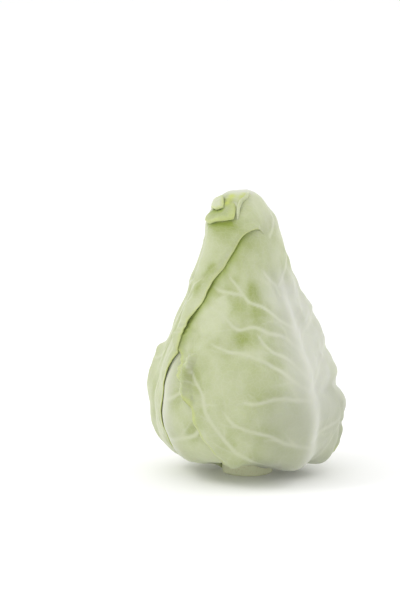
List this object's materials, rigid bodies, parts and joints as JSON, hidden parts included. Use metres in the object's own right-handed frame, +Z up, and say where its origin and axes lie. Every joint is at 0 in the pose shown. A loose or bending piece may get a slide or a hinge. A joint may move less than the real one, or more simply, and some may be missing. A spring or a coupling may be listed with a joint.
{
  "type": "cabbage head",
  "caption": "Whole pointed cabbage head, standing tip up on its cut stem, with wrapper leaves that overlap round a tight heart.",
  "frame": {"origin": "centre of the stem's cut face, on the surface that the head stands on", "axes": "+Z up the head to its tip, -Y towards the viewer of the picture, +X to that viewer's right"},
  "size_m": [0.1229, 0.1255, 0.1899],
  "materials": {
    "leaf": "waxy pale green leaf, whitish along the midrib and veins, darker green between them, soft satin sheen",
    "heart": "pale yellow-green young leaves, tightly packed, satin",
    "stem": "cut stem, off-white with a faint ring of fibres, matt, slightly browned at the rim"
  },
  "bodies": {
    "root": {"leaf_5_inner_right": "leaf", "leaf_4_left": "leaf", "leaf_3_back_right": "leaf", "leaf_2_front": "leaf", "leaf_1_back_left": "leaf", "heart": "heart", "stem": "stem"}
  },
  "joints": []
}
